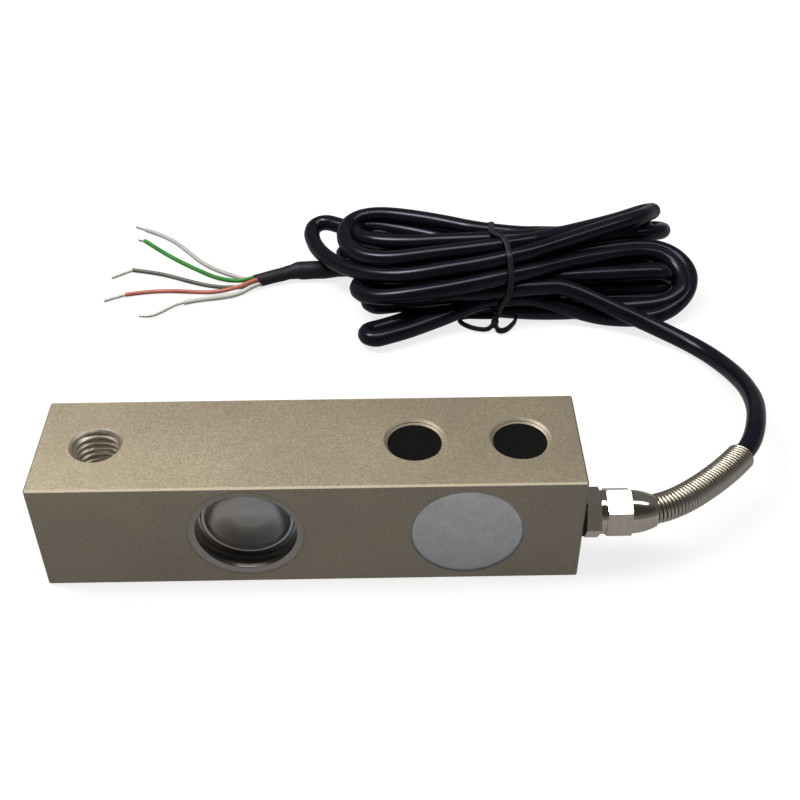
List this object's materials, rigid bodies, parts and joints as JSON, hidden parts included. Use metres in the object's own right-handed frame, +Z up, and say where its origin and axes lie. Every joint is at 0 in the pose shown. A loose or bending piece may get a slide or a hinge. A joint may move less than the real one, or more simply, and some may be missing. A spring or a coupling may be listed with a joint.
{
  "type": "shear beam load cell",
  "caption": "Shear beam load cell: steel block with a threaded load hole, mounting holes, sealed gauge pockets, wiring cover, gland with strain relief spring and a tied hank of cable.",
  "frame": {"origin": "centre of the beam's underside", "axes": "+X along the beam to the cable end, -Y to the side with the wiring cover, +Z up through the load hole"},
  "size_m": [0.1961, 0.1657, 0.0318],
  "materials": {
    "plated_steel": "bead blasted, nickel plated",
    "pressed_steel": "bright pressed sheet",
    "cover_steel": "satin",
    "gauge_foil": "satin film",
    "solder_tab": "bright",
    "fine_wire": "enamelled",
    "circuit_board": "satin",
    "terminal_block": "matte",
    "resistor": "glossy",
    "inner_core": "satin",
    "gland_metal": "nickel plated, bright",
    "seal_rubber": "matte",
    "spring_steel": "bright drawn wire",
    "cable_jacket": "satin",
    "tie_wire": "satin",
    "shrink_tube": "satin",
    "green_core": "satin",
    "white_core": "satin",
    "black_core": "satin",
    "red_core": "satin",
    "shield_sleeve": "satin",
    "tinned_copper": "tinned"
  },
  "bodies": {
    "root": {"beam_body": "plated_steel", "front_sealing_cup": "pressed_steel", "rear_sealing_cup": "pressed_steel", "front_strain_gauge": "gauge_foil", "rear_strain_gauge": "gauge_foil", "front_solder_tab": "solder_tab", "rear_solder_tab": "solder_tab", "bridge_wires": "fine_wire", "web_link_wires": "fine_wire", "wiring_cover": "cover_steel", "terminal_board": "circuit_board", "terminal_block": "terminal_block", "trim_resistors": "resistor", "inner_cores": "inner_core", "gland_body": "gland_metal", "gland_seal_washer": "seal_rubber", "gland_grommet": "seal_rubber", "gland_thrust_ring": "gland_metal", "gland_nut": "gland_metal", "strain_relief_spring": "spring_steel", "cable_in_gland": "cable_jacket", "cable_lead": "cable_jacket", "cable_hank": "cable_jacket", "hank_tie": "tie_wire", "cable_tail": "cable_jacket", "shrink_sleeve": "shrink_tube", "green_core": "green_core", "white_core": "white_core", "black_core": "black_core", "red_core": "red_core", "shield_sleeve": "shield_sleeve", "tinned_core_ends": "tinned_copper", "shield_end": "tinned_copper"}
  },
  "joints": []
}
